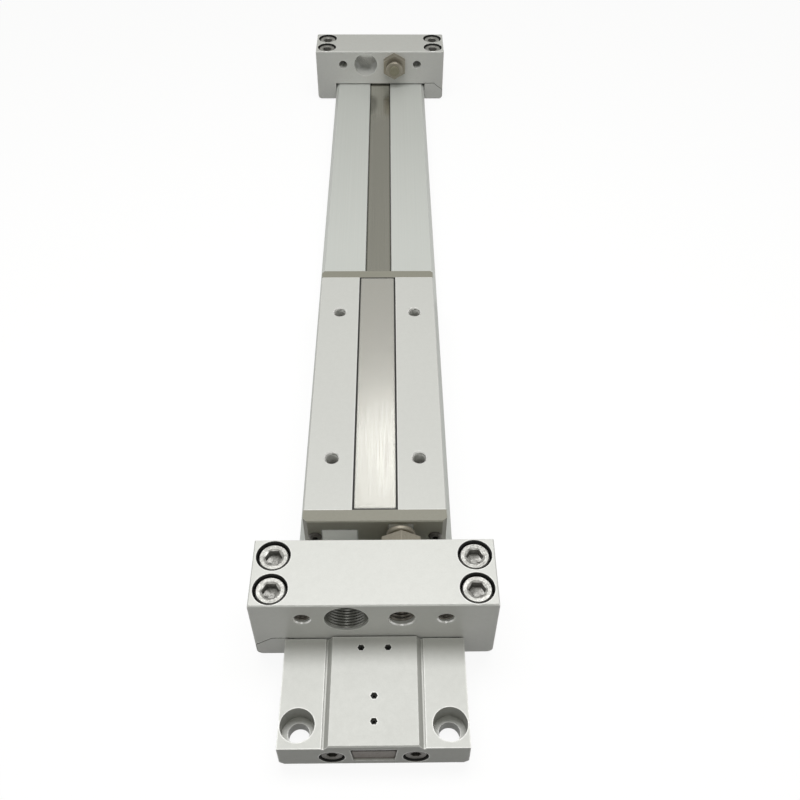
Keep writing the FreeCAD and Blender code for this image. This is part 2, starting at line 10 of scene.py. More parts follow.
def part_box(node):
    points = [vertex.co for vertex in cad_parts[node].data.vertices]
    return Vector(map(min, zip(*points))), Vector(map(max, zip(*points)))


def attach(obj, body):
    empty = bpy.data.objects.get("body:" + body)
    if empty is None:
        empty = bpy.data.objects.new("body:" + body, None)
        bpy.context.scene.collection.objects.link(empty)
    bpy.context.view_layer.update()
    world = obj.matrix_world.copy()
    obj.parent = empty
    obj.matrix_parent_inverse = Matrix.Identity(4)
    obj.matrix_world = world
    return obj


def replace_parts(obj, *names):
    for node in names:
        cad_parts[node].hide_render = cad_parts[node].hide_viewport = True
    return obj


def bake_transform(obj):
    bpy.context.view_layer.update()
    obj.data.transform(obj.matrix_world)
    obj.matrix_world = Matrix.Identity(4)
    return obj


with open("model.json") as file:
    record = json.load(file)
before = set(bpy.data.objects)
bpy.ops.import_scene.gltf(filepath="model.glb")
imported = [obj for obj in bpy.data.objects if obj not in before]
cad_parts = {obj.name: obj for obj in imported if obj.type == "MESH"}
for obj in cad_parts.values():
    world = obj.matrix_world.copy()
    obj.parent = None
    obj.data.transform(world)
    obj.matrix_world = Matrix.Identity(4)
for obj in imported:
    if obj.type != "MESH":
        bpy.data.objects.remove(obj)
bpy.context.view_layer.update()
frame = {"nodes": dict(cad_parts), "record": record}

# A flat slit-type rodless cylinder in blasted aluminium, with its belts, screws and cut threads.
# Metres: X is across, Y along the stroke with the near end at -Y, Z up from the mounting face.

MM = 0.001
NEAR, FAR = -1, 1
SIDES = (-1, 1)
UP = Vector((0, 0, 1))
DOWN = Vector((0, 0, -1))
ends = {NEAR: "near", FAR: "far"}

# Camera, at the photograph's place
camera_spot = (5.3 * MM, -336.5 * MM, 266.7 * MM)
camera_turn = (43.299, -0.312, -0.634)
camera_lens = 38.72
camera_film = 36.0
camera_clip = 10.0 * MM

# Roundness of turned pieces, and the angles in degrees past which an edge stays sharp
head_segments = 72
small_segments = 48
usual_sharp = 30.0
screw_sharp = 15.0
belt_sharp = 40.0

# Socket screws in the stop holders and in the end faces, and the black rings of painted shade in their wells
holder_head_radius = 4.9 * MM
holder_head_height = 6.0 * MM
holder_socket = 5.0 * MM
holder_well_radius = 5.58 * MM
end_head_radius = 3.5 * MM
end_head_height = 4.0 * MM
end_socket = 3.0 * MM
end_well_radius = 3.98 * MM
knurl_depth = 0.06 * MM
knurl_teeth = 36
shade_ring_wall = 0.22 * MM
shade_ring_sink = 0.12 * MM

# Set screws in the head covers' pads, two on the middle line and a pair over the belts
set_screw_radius = 0.95 * MM
set_screw_length = 1.8 * MM
set_screw_socket = 0.9 * MM
set_screw_sink = 0.9 * MM
set_screw_insets = (7.7 * MM, 15.7 * MM)
belt_screw_inset = 31.7 * MM
belt_screw_half = 4.3 * MM

# Domed screws of the end covers; the dome is its rise and reach as shares of height and radius
cover_screw_radius = 2.3 * MM
cover_screw_height = 1.1 * MM
cover_screw_socket = 2.0 * MM
cover_screw_floor = 0.1 * MM
cover_screw_root = 0.3 * MM
cover_screw_dome = ((0.0, 1.0), (0.3, 0.98), (0.7, 0.86), (0.95, 0.68), (1.0, 0.5))
cover_screw_x = 20.55 * MM
cover_screw_drop = 8.6 * MM

# Cut threads, and the bright rims at their mouths: bare cut metal, partly painted highlight
hole_chamfer = 0.5 * MM
absorber_pitch = 1.0 * MM
absorber_thread_depth = 11.0 * MM
stop_hole_radius = 4.0 * MM
stop_pitch = 1.25 * MM
stop_thread_depth = 5.4 * MM
small_pitch = 0.8 * MM
bracket_thread_depth = 12.0 * MM
table_thread_depth = 8.6 * MM
thread_fill = 0.94
hole_thread_steps = 28
bolt_thread_steps = 40
ridge_corners = 4
rim_sink = 0.03 * MM
rim_wall = 0.05 * MM
rim_ease = 0.005 * MM

# Stop bolts, and the bumpers' profile as shares of their height and radius
bolt_core = 3.3 * MM
bolt_crest = 3.88 * MM
bolt_point = 0.4 * MM
bolt_cap_edge = 0.35 * MM
bolt_cap_length = 1.7 * MM
bumper_profile = ((0.0, 1.0), (0.6, 1.0), (0.85, 0.95), (0.97, 0.86), (1.0, 0.72), (1.0, 0.3), (0.93, 0.2))

# Black strip of painted shade in the gap round the cover plate
gap_strip_ease = 0.03 * MM
gap_strip_sink = 0.05 * MM
gap_strip_lip = 0.12 * MM
plate_edge = 0.2 * MM

# Belts; a ramp runs between two distances from the table's middle
dust_width, dust_thickness = 12.0 * MM, 0.25 * MM
seal_width, seal_thickness = 7.0 * MM, 0.4 * MM
dust_ramp = (33.5 * MM, 58.0 * MM)
seal_ramp = (30.0 * MM, 54.0 * MM)
dust_level, dust_crest = 9.675 * MM, 19.4 * MM
seal_level, seal_dip = 8.05 * MM, 4.0 * MM
bend_radius = 40.0 * MM
bend_steps = 10
belt_ease = 0.3

# Surface patterns, wear, and painted shade and highlight; a range is the part of a pattern or a mask that is
# spread to its full reach
grain_range = (0.28, 0.72)
pattern_range = (0.3, 0.7)
grain_patch_scale = 0.23
grain_fine_share = 0.55
marks_scale = 30.0
break_scale = 700.0
break_range = (0.35, 0.65)
break_least = 0.6
edge_range = (0.5, 0.97)
recess_shade_range = (0.08, 0.55)
corner_samples = 8
ease_samples = 4
eased_radius = 0.2 * MM
bump_strength = 0.5
rough_range = 0.08
bare_roughness = 0.27

# Floor and room
floor_half = 4.0
floor_drop = 0.2 * MM
floor_glow = 1.03
floor_shadow_share = 0.12
floor_pale = (0.95, 0.95, 0.95)
floor_dim = (0.1, 0.1, 0.092)
white = (1.0, 1.0, 1.0)
room_light = (0.18, 0.49)
room_range = (0.1, 0.9)
room_blue = 0.93
wall_range = (0.2, 0.35)


# Node helpers

FLOAT, VECTOR, WHOLE = "NodeSocketFloat", "NodeSocketVector", "NodeSocketInt"
GEOMETRY, OBJECT, MATERIAL = "NodeSocketGeometry", "NodeSocketObject", "NodeSocketMaterial"
SHADER_TREE, GEOMETRY_TREE = "ShaderNodeTree", "GeometryNodeTree"


def add(tree, kind, inputs=None, **settings):
    """Adds a node, sets it up, and fills its inputs with values or with other nodes' outputs."""
    made = tree.nodes.new(kind)
    for name, value in settings.items():
        setattr(made, name, value)
    for key, value in (inputs or {}).items():
        if isinstance(value, bpy.types.NodeSocket):
            tree.links.new(value, made.inputs[key])
        else:
            made.inputs[key].default_value = value
    return made


def maths(tree, operation, *values):
    """The result of one sum on values or other nodes' outputs."""
    return add(tree, "ShaderNodeMath", dict(enumerate(values)), operation=operation).outputs[0]


def spread(tree, value, low, high, start=0.0, end=1.0):
    """Maps a value that runs from start to end on to low to high."""
    return add(tree, "ShaderNodeMapRange", {"Value": value, "From Min": start, "From Max": end,
                                            "To Min": low, "To Max": high}).outputs["Result"]


def opaque(colour):
    """A colour with the full alpha that a colour socket asks for."""
    return (*colour, 1.0)


def mix(tree, share, first, second, way="MIX"):
    """Mixes a second colour into a first one, or multiplies it in, by a share.

    Sockets 0, 6 and 7 of the node are the share and the two colours, and output 2 is the colour.
    """
    first, second = [opaque(c) if isinstance(c, tuple) else c for c in (first, second)]
    return add(tree, "ShaderNodeMix", {0: share, 6: first, 7: second}, data_type="RGBA",
               blend_type=way).outputs[2]


def coordinates(tree, kind="Object"):
    """Where a point of the surface lies, or the way that it faces."""
    return add(tree, "ShaderNodeTexCoord").outputs[kind]


def along_axis(tree, vector, axis):
    """A vector's part along one axis."""
    return add(tree, "ShaderNodeSeparateXYZ", {0: vector}).outputs[axis]


def noise(tree, place, scale, detail, roughness=0.5, distortion=0.0):
    """A soft random pattern."""
    return add(tree, "ShaderNodeTexNoise", {"Vector": place, "Scale": scale, "Detail": detail,
                                            "Roughness": roughness, "Distortion": distortion}).outputs["Fac"]


def new_group(name, kind, inputs, outputs):
    """A node group with named sockets: the group, what it is given and what it puts out."""
    tree = bpy.data.node_groups.new(name, kind)
    for way, sockets in (("INPUT", inputs), ("OUTPUT", outputs)):
        for label, socket_kind in sockets.items():
            tree.interface.new_socket(name=label, in_out=way, socket_type=socket_kind)
    return tree, tree.nodes.new("NodeGroupInput").outputs, tree.nodes.new("NodeGroupOutput").inputs


# Shader groups shared by the finishes

def make_blast_grain():
    """Fine pits of bead blasting: a shade and a height."""
    tree, given, out = new_group("blast_grain", SHADER_TREE, {"Scale": FLOAT},
                                 {"Shade": FLOAT, "Height": FLOAT})
    place = coordinates(tree)
    fine = noise(tree, place, given["Scale"], detail=2.0, roughness=0.7)
    patch_scale = maths(tree, "MULTIPLY", given["Scale"], grain_patch_scale)
    patch = noise(tree, place, patch_scale, detail=3.0, roughness=0.6)
    shade = maths(tree, "ADD", maths(tree, "MULTIPLY", fine, grain_fine_share),
                  maths(tree, "MULTIPLY", patch, 1.0 - grain_fine_share))
    tree.links.new(spread(tree, shade, 0.0, 1.0, *grain_range), out["Shade"])
    tree.links.new(fine, out["Height"])
    return tree


def make_drawn_lines():
    """Lines left along the stroke by a die, a roll or a brush: a shade and a height."""
    tree, given, out = new_group("drawn_lines", SHADER_TREE, {"Across": FLOAT, "Along": FLOAT},
                                 {"Shade": FLOAT, "Height": FLOAT})
    stretch = add(tree, "ShaderNodeCombineXYZ", {"X": given["Across"], "Y": given["Along"],
                                                 "Z": given["Across"]}).outputs[0]
    drawn = add(tree, "ShaderNodeVectorMath", {0: coordinates(tree), 1: stretch},
                operation="MULTIPLY").outputs[0]
    lines = noise(tree, drawn, scale=1.0, detail=3.0, roughness=0.65)
    tree.links.new(spread(tree, lines, 0.0, 1.0, *pattern_range), out["Shade"])
    tree.links.new(lines, out["Height"])
    return tree


def make_handling_marks():
    """Broad, faint patches where a surface has been wiped and handled: a shade."""
    tree, given, out = new_group("handling_marks", SHADER_TREE, {"Scale": FLOAT}, {"Shade": FLOAT})
    patch = noise(tree, coordinates(tree), given["Scale"], detail=5.0, roughness=0.55, distortion=0.6)
    tree.links.new(spread(tree, patch, 0.0, 1.0, *pattern_range), out["Shade"])
    return tree


def make_edge_wear_and_light_mask():
    """Outer edges: a mask that is broken up a little, for real wear, painted highlight and painted shade
    lines along edges.
    """
    tree, given, out = new_group("edge_wear_and_light_mask", SHADER_TREE, {"Width": FLOAT}, {"Mask": FLOAT})
    inside = add(tree, "ShaderNodeAmbientOcclusion", {"Distance": given["Width"]},
                 inside=True, only_local=True, samples=corner_samples).outputs["AO"]
    edge = spread(tree, inside, 1.0, 0.0, *edge_range)
    breaks = noise(tree, coordinates(tree), break_scale, detail=3.0)
    broken = spread(tree, breaks, break_least, 1.0, *break_range)
    tree.links.new(maths(tree, "MULTIPLY", edge, broken), out["Mask"])
    return tree


def make_eased_edge():
    """The normal of a surface whose sharp edges are eased by a small radius."""
    tree, given, out = new_group("eased_edge", SHADER_TREE, {"Radius": FLOAT}, {"Normal": VECTOR})
    eased = add(tree, "ShaderNodeBevel", {"Radius": given["Radius"]}, samples=ease_samples)
    tree.links.new(eased.outputs["Normal"], out["Normal"])
    return tree


def make_recess_shade():
    """Painted shade in grooves, holes and corners, where local ambient occlusion is low: a mask."""
    tree, given, out = new_group("recess_shade_mask", SHADER_TREE, {"Reach": FLOAT}, {"Mask": FLOAT})
    open_sky = add(tree, "ShaderNodeAmbientOcclusion", {"Distance": given["Reach"]},
                   only_local=True, samples=corner_samples).outputs["AO"]
    tree.links.new(spread(tree, open_sky, 1.0, 0.0, *recess_shade_range), out["Mask"])
    return tree


def make_side_faces():
    """Faces that stand or slope: a mask that fades from Start to End, where 1 is a level face."""
    tree, given, out = new_group("side_faces", SHADER_TREE, {"Start": FLOAT, "End": FLOAT},
                                 {"Mask": FLOAT})
    level = maths(tree, "ABSOLUTE", along_axis(tree, coordinates(tree, "Normal"), "Z"))
    tree.links.new(spread(tree, level, 1.0, 0.0, given["Start"], given["End"]), out["Mask"])
    return tree


def make_side_lines():
    """Both edges of a strip on the middle line: a mask that grows from Inner to Outer, off that line."""
    tree, given, out = new_group("side_lines", SHADER_TREE, {"Inner": FLOAT, "Outer": FLOAT},
                                 {"Mask": FLOAT})
    away = maths(tree, "ABSOLUTE", along_axis(tree, coordinates(tree), "X"))
    tree.links.new(spread(tree, away, 0.0, 1.0, given["Inner"], given["Outer"]), out["Mask"])
    return tree


blast_grain = make_blast_grain()
drawn_lines = make_drawn_lines()
handling_marks = make_handling_marks()
edge_wear_and_light_mask = make_edge_wear_and_light_mask()
eased_edge = make_eased_edge()
recess_shade_mask = make_recess_shade()
side_faces = make_side_faces()
side_lines = make_side_lines()


def place_group(tree, group, values):
    """Puts a shared group into a material with its own values."""
    placed = add(tree, "ShaderNodeGroup", node_tree=group)
    for name, value in values.items():
        placed.inputs[name].default_value = value
    return placed.outputs


# Finishes

Pattern = namedtuple("Pattern", "group values")
# Outer edges in their own colour: real wear on some finishes, painted highlight on others, a painted shade
# line on others again.
EdgeWearAndLight = namedtuple("EdgeWearAndLight", "width colour metallic")
RecessShade = namedtuple("RecessShade", "reach colour")
Tint = namedtuple("Tint", "mask colour")
finishes = {}


def finish(name, dark, light, metallic, roughness, texture, bump=0.02 * MM, marks=0.1, edge_wear_and_light=None, recess_shade=None,
           tint=None):
    """Makes a finish between a dark and a light colour, shaded by its texture and by handling marks.

    A tint multiplies a colour in where its mask is; every tint here is painted shade. Outer edges get
    their own colour and metallic value: real wear on some finishes, painted highlight on others, and a
    painted shade line on others again. Painted shade darkens grooves and holes.
    """
    material = bpy.data.materials.new(name)
    material.use_nodes = True
    tree = material.node_tree
    surface = tree.nodes["Principled BSDF"].inputs
    surface["Metallic"].default_value = metallic
    grain = place_group(tree, *texture)
    patch = place_group(tree, handling_marks, {"Scale": marks_scale})["Shade"]
    shade = maths(tree, "ADD", maths(tree, "MULTIPLY", grain["Shade"], 1.0 - marks),
                  maths(tree, "MULTIPLY", patch, marks))
    colour = mix(tree, shade, dark, light)
    rough = spread(tree, shade, roughness + rough_range / 2, roughness - rough_range / 2)
    if tint:
        colour = mix(tree, place_group(tree, *tint.mask)["Mask"], colour, tint.colour, "MULTIPLY")
    if edge_wear_and_light:
        edge_mask = place_group(tree, edge_wear_and_light_mask, {"Width": edge_wear_and_light.width})["Mask"]
        colour = mix(tree, edge_mask, colour, edge_wear_and_light.colour)
        if edge_wear_and_light.metallic != metallic:
            tree.links.new(spread(tree, edge_mask, metallic, edge_wear_and_light.metallic), surface["Metallic"])
        if edge_wear_and_light.metallic > metallic:
            rough = add(tree, "ShaderNodeMix", {0: edge_mask, 2: rough, 3: bare_roughness}).outputs[0]
    # Painted shade: grooves and holes darken where local ambient occlusion is low.
    if recess_shade:
        recess_mask = place_group(tree, recess_shade_mask, {"Reach": recess_shade.reach})["Mask"]
        colour = mix(tree, recess_mask, colour, recess_shade.colour)
    eased = place_group(tree, eased_edge, {"Radius": eased_radius})["Normal"]
    raised = add(tree, "ShaderNodeBump", {"Strength": bump_strength, "Distance": bump,
                                          "Height": grain["Height"], "Normal": eased}).outputs["Normal"]
    tree.links.new(colour, surface["Base Color"])
    tree.links.new(rough, surface["Roughness"])
    tree.links.new(raised, surface["Normal"])
    finishes[name] = material


blast = Pattern(blast_grain, {"Scale": 2600.0})
cast = Pattern(blast_grain, {"Scale": 1500.0})
moulded = Pattern(blast_grain, {"Scale": 4200.0})
die_drawn = Pattern(drawn_lines, {"Across": 1600.0, "Along": 6.0})
brushed = Pattern(drawn_lines, {"Across": 5200.0, "Along": 40.0})
rolled = Pattern(drawn_lines, {"Across": 3200.0, "Along": 9.0})

# Worn edges lightened to near white: bare metal worn through the anodising, made brighter still as painted
# highlight.
bare_edge_and_highlight = EdgeWearAndLight(0.45 * MM, (0.97, 0.97, 0.95), 0.12)
# Painted shade: this and each other darkening of grooves, holes and sockets in the finishes below stand for
# shade.
groove_shade = RecessShade(3.0 * MM, (0.16, 0.155, 0.135))
# Painted shade: standing and sloping faces made darker, as they lie in shade.
side_shade = Tint(Pattern(side_faces, {"Start": 0.4, "End": 0.9}), (0.62, 0.62, 0.605))
# Painted shade: near-black lines along the cover plate's edges, for the shaded gap round it.
plate_edge_shade = Tint(Pattern(side_lines, {"Inner": 7.14 * MM, "Outer": 7.2 * MM}), (0.03, 0.03, 0.03))
# Painted shade: darker bands along the belt's edges, for the shade in its recess.
belt_edge_shade = Tint(Pattern(side_lines, {"Inner": 5.35 * MM, "Outer": 5.6 * MM}), (0.3, 0.3, 0.28))
blasted = {"metallic": 0.08, "roughness": 0.46, "texture": blast, "bump": 0.03 * MM, "recess_shade": groove_shade}

# Aluminium: blasted and clear anodised, drawn, or cast
finish("blasted_aluminium", (0.66, 0.665, 0.64), (0.72, 0.725, 0.70), edge_wear_and_light=bare_edge_and_highlight, **blasted)
# The wedge clamps' edges are near black: painted shade of the seam between clamp and holder.
finish("wedge_aluminium", (0.66, 0.665, 0.64), (0.72, 0.725, 0.70),
       edge_wear_and_light=EdgeWearAndLight(0.45 * MM, (0.10, 0.098, 0.085), 0.08), **blasted)
# The head covers are a darker copy of the blasted aluminium, with their standing and sloping faces darker
# still: both painted shade.
finish("head_aluminium", (0.60, 0.605, 0.58), (0.66, 0.665, 0.64), edge_wear_and_light=bare_edge_and_highlight, tint=side_shade,
       **blasted)
finish("table_aluminium", (0.61, 0.615, 0.592), (0.655, 0.66, 0.637), edge_wear_and_light=bare_edge_and_highlight, **blasted)
# The tube's edges are lightened too: wear to bare metal, and painted highlight along its slot.
finish("drawn_aluminium", (0.655, 0.675, 0.65), (0.69, 0.71, 0.685), metallic=0.08, roughness=0.42,
       texture=die_drawn, bump=0.006 * MM, edge_wear_and_light=EdgeWearAndLight(0.35 * MM, (0.86, 0.87, 0.85), 0.08), recess_shade=groove_shade)
# The belt clamps' edges are near black: painted shade where they sit in the table's recess.
finish("cast_clamp", (0.18, 0.162, 0.148), (0.32, 0.29, 0.27), metallic=0.2, roughness=0.55,
       texture=cast, bump=0.05 * MM, edge_wear_and_light=EdgeWearAndLight(0.5 * MM, (0.02, 0.02, 0.018), 0.2))

# Steel: plates, belt and fasteners
# The satin plate's edges are darkened to near black as well: painted shade of the gap round it.
finish("satin_plate", (0.64, 0.63, 0.59), (0.72, 0.71, 0.67), metallic=0.75, roughness=0.23,
       texture=brushed, bump=0.004 * MM, edge_wear_and_light=EdgeWearAndLight(0.8 * MM, (0.03, 0.03, 0.026), 0.3), tint=plate_edge_shade)
# The stop plates are pale ground steel made lighter still as painted highlight, with edges darkened to near
# black as painted shade.
finish("ground_plate", (0.80, 0.80, 0.78), (0.90, 0.90, 0.88), metallic=0.3, roughness=0.35,
       texture=brushed, bump=0.004 * MM, edge_wear_and_light=EdgeWearAndLight(0.5 * MM, (0.04, 0.04, 0.035), 0.3))
# The belt's edges are darkened by painted shade.
finish("belt_steel", (0.54, 0.53, 0.48), (0.62, 0.61, 0.555), metallic=0.95, roughness=0.2,
       texture=rolled, bump=0.003 * MM, tint=belt_edge_shade)
# The screw heads' sockets are darkened by painted shade as well.
finish("plated_steel", (0.10, 0.098, 0.09), (0.72, 0.715, 0.685), metallic=0.6, roughness=0.36,
       texture=cast, bump=0.1 * MM, marks=0.15, edge_wear_and_light=EdgeWearAndLight(0.25 * MM, (0.72, 0.715, 0.69), 0.8),
       recess_shade=RecessShade(5.0 * MM, (0.045, 0.04, 0.034)))
finish("aged_zinc", (0.25, 0.225, 0.175), (0.42, 0.39, 0.325), metallic=0.6, roughness=0.38,
       texture=cast, bump=0.03 * MM, marks=0.4, edge_wear_and_light=EdgeWearAndLight(0.25 * MM, (0.46, 0.43, 0.37), 0.7))
finish("black_steel", (0.012, 0.012, 0.012), (0.03, 0.03, 0.028), metallic=0.2, roughness=0.5,
       texture=moulded)
# The sockets of the end and cover screws are darkened by painted shade as well.
finish("oiled_steel", (0.045, 0.042, 0.038), (0.16, 0.152, 0.136), metallic=0.6, roughness=0.4,
       texture=cast, bump=0.06 * MM, edge_wear_and_light=EdgeWearAndLight(0.25 * MM, (0.27, 0.262, 0.24), 0.7),
       recess_shade=RecessShade(2.0 * MM, (0.02, 0.018, 0.015)))

# Threads and rims cut in aluminium: the dark threads are painted shade for the holes they line, and the
# bright finish is painted light on the far absorber's thread and bare cut metal with painted highlight on
# the rims
finish("cut_thread", (0.16, 0.16, 0.148), (0.225, 0.225, 0.205), metallic=0.6, roughness=0.28,
       texture=moulded, bump=0.008 * MM, recess_shade=RecessShade(2.2 * MM, (0.02, 0.02, 0.018)))
finish("clean_thread", (0.52, 0.52, 0.50), (0.62, 0.62, 0.60), metallic=0.3, roughness=0.32,
       texture=moulded, bump=0.008 * MM, recess_shade=RecessShade(1.0 * MM, (0.12, 0.118, 0.105)))
finish("shaded_thread", (0.07, 0.062, 0.05), (0.17, 0.155, 0.13), metallic=0.5, roughness=0.3,
       texture=moulded)
finish("bright_cut_and_light", (0.90, 0.90, 0.88), (0.97, 0.97, 0.95), metallic=0.3, roughness=0.26,
       texture=moulded, bump=0.006 * MM)

# Resin, urethane and rubber
finish("cover_resin", (0.25, 0.243, 0.20), (0.30, 0.293, 0.245), metallic=0.0, roughness=0.48,
       texture=moulded, marks=0.3, edge_wear_and_light=EdgeWearAndLight(0.3 * MM, (0.38, 0.37, 0.32), 0.0), recess_shade=groove_shade)
finish("bearing_resin", (0.62, 0.60, 0.54), (0.72, 0.70, 0.64), metallic=0.0, roughness=0.45,
       texture=moulded)
finish("seal_urethane", (0.30, 0.26, 0.16), (0.38, 0.33, 0.21), metallic=0.0, roughness=0.42,
       texture=rolled)
finish("urethane", (0.23, 0.215, 0.15), (0.31, 0.295, 0.215), metallic=0.0, roughness=0.5,
       texture=moulded)
finish("black_rubber", (0.012, 0.012, 0.012), (0.03, 0.03, 0.028), metallic=0.0, roughness=0.6,
       texture=cast)
finish("magnet_rubber", (0.05, 0.045, 0.04), (0.09, 0.08, 0.07), metallic=0.0, roughness=0.65,
       texture=cast)


def both(stem):
    """The names of a node at the near end and at the far end."""
    return [stem + "_" + tag for tag in ends.values()]


node_finishes = {
    "blasted_aluminium": both("stop_holder"),
    "wedge_aluminium": both("wedge_clamp") + both("clamp_bar"),
    "head_aluminium": ["head_covers"],
    "table_aluminium": ["slide_table", "yoke", "piston_heads"],
    "drawn_aluminium": ["cylinder_tube"],
    "cast_clamp": both("belt_clamp"),
    "satin_plate": ["cover_plate"],
    "ground_plate": both("stop_plate"),
    "belt_steel": ["dust_belt"],
    "plated_steel": ["holder_screws", "head_cover_screws"] + both("stop_bolt"),
    "aged_zinc": ["jam_nuts"],
    "cover_resin": both("end_cover"),
    "bearing_resin": ["bearing_pads", "belt_separators"],
    "seal_urethane": ["seal_belt", "piston_seals"],
    "urethane": both("bolt_bumper"),
    "black_rubber": both("scraper"),
    "magnet_rubber": ["seal_magnets", "piston_magnets"],
}
for finish_name, nodes in node_finishes.items():
    for node in nodes:
        slots = frame["nodes"][node].data.materials
        if not slots:
            slots.append(finishes[finish_name])
        for index in range(len(slots)):
            slots[index] = finishes[finish_name]


# Mesh helpers

def new_object(name, mesh, sharp=usual_sharp):
    """Links a mesh to the scene, smooth apart from its sharp edges."""
    for face in mesh.polygons:
        face.use_smooth = True
    mesh.set_sharp_from_angle(angle=math.radians(sharp))
    made = bpy.data.objects.new(name, mesh)
    bpy.context.scene.collection.objects.link(made)
    return made


def settle(piece, body):
    """Lets a piece ride on a body."""
    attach(piece, body)
    return piece


def turn_to(direction):
    """The turn that takes a piece made upright to a direction."""
    return UP.rotation_difference(Vector(direction)).to_matrix().to_4x4()


def skin(name, loops, around=False, fans=False):
    """A mesh over a stack of loops of points, closed at its ends or, if it goes around, on itself.

    An end is one face, or a fan of triangles about its middle.
    """
    work = bmesh.new()
    rows = [[work.verts.new(point) for point in loop] for loop in loops]
    for low, high in zip(rows, rows[1:] + (rows[:1] if around else [])):
        for k in range(len(low)):
            after = (k + 1) % len(low)
            work.faces.new((low[k], low[after], high[after], high[k]))
    for row in () if around else (rows[0], rows[-1]):
        if fans:
            middle = work.verts.new(sum((vert.co for vert in row), Vector()) / len(row))
            for k in range(len(row)):
                work.faces.new((row[k], row[(k + 1) % len(row)], middle))
        else:
            work.faces.new(row)
    bmesh.ops.recalc_face_normals(work, faces=work.faces)
    mesh = bpy.data.meshes.new(name)
    work.to_mesh(mesh)
    work.free()
    return mesh


def turned_mesh(name, rings, segments=head_segments, hollow=False):
    """A closed solid of stacked rings. Each ring is a height and a radius, or a radius by angle.

    A hollow one is open through its middle: its last ring joins its first.
    """
    angles = [2 * math.pi * k / segments for k in range(segments)]
    loops = []
    for height, radius in rings:
        reaches = [radius(angle) if callable(radius) else radius for angle in angles]
        loops.append([(reach * math.cos(angle), reach * math.sin(angle), height)
                      for reach, angle in zip(reaches, angles)])
    return skin(name, loops, around=hollow, fans=True)


def hexagon(across_flats):
    """The radius of a hexagon at an angle."""
    return lambda angle: across_flats / 2 / math.cos(angle % (math.pi / 3) - math.pi / 6)


def corner_radius(across_flats):
    """The radius of a hexagon at its corners."""
    return across_flats / 2 / math.cos(math.pi / 6)


def knurl(radius):
    """The radius of a rim with fine teeth, at an angle."""
    return lambda angle: radius - knurl_depth * (1 - math.cos(knurl_teeth * angle))


# Screws and rings, each made upright

def socket_head(name, radius, height, socket):
    """A socket screw's head, seat at zero: knurled rim, chamfered top, hexagonal socket with a lead-in."""
    chamfer = 0.09 * radius
    knurl_foot, knurl_top = chamfer / 2, height - 1.8 * chamfer
    collar_foot, collar = height - 1.7 * chamfer, radius - chamfer / 3
    lead_depth, lead_radius = 0.06 * socket, 1.1 * corner_radius(socket) + 0.03 * radius
    socket_floor = height / 2
    drill_depth, drill_radius = 0.1 * socket, 0.2 * socket
    return turned_mesh(name, [
        (0, radius - chamfer), (knurl_foot, knurl(radius)), (knurl_top, knurl(radius)),
        (collar_foot, collar), (height - chamfer, collar), (height, radius - chamfer),
        (height, lead_radius), (height - lead_depth, hexagon(socket)), (socket_floor, hexagon(socket)),
        (socket_floor - drill_depth, drill_radius)])


def shade_ring(name, radius, height):
    """A black ring of painted shade that lines a screw's well, for the shaded gap round the head, seat at
    zero.
    """
    inner = radius - shade_ring_wall
    lip = shade_ring_wall / 3
    return turned_mesh(name, [
        (0, inner), (height - lip, inner), (height, inner + lip), (height, radius - lip),
        (height - lip, radius), (0, radius)], hollow=True)


def set_screw():
    """A set screw, top at zero: tapered point, chamfered top, hexagonal socket with a lead-in."""
    radius, length, socket = set_screw_radius, set_screw_length, set_screw_socket
    point_top, point_radius = -0.8 * length, 0.6 * radius
    chamfer_depth, chamfer_radius = 0.1 * radius, 0.88 * radius
    lead_depth, lead_radius = 0.1 * socket, 1.12 * corner_radius(socket)
    return turned_mesh("set_screw", [
        (-length, point_radius), (point_top, radius), (-chamfer_depth, radius), (0, chamfer_radius),
        (0, lead_radius), (-lead_depth, hexagon(socket)), (-length / 2, hexagon(socket))], small_segments)


def cover_screw():
    """A low domed screw, the cover's face at zero: tapered root, dome, hexagonal socket."""
    radius, height, socket = cover_screw_radius, cover_screw_height, cover_screw_socket
    root_radius, socket_mouth = 0.9 * radius, 0.9 * height
    dome = [(rise * height, reach * radius) for rise, reach in cover_screw_dome]
    return turned_mesh("cover_screw", [
        (-cover_screw_root, root_radius), *dome,
        (socket_mouth, hexagon(socket)), (cover_screw_floor, hexagon(socket))], small_segments)


# Geometry Nodes for what repeats

def set_on_points(tree, given, pattern, out):
    """Ends a tree: the pattern stands on every point, made real, with its finish."""
    copies = add(tree, "GeometryNodeInstanceOnPoints", {"Points": given["Points"], "Instance": pattern})
    whole = add(tree, "GeometryNodeRealizeInstances", {0: copies.outputs[0]})
    done = add(tree, "GeometryNodeSetMaterial", {"Geometry": whole.outputs[0], "Material": given["Finish"]})
    tree.links.new(done.outputs[0], out["Geometry"])
    return tree


def make_set_out():
    """Sets a pattern out on every point."""
    tree, given, out = new_group("set_out", GEOMETRY_TREE,
                                 {"Points": GEOMETRY, "Pattern": OBJECT, "Finish": MATERIAL},
                                 {"Geometry": GEOMETRY})
    pattern = add(tree, "GeometryNodeObjectInfo", {"Object": given["Pattern"]}).outputs["Geometry"]
    return set_on_points(tree, given, pattern, out)


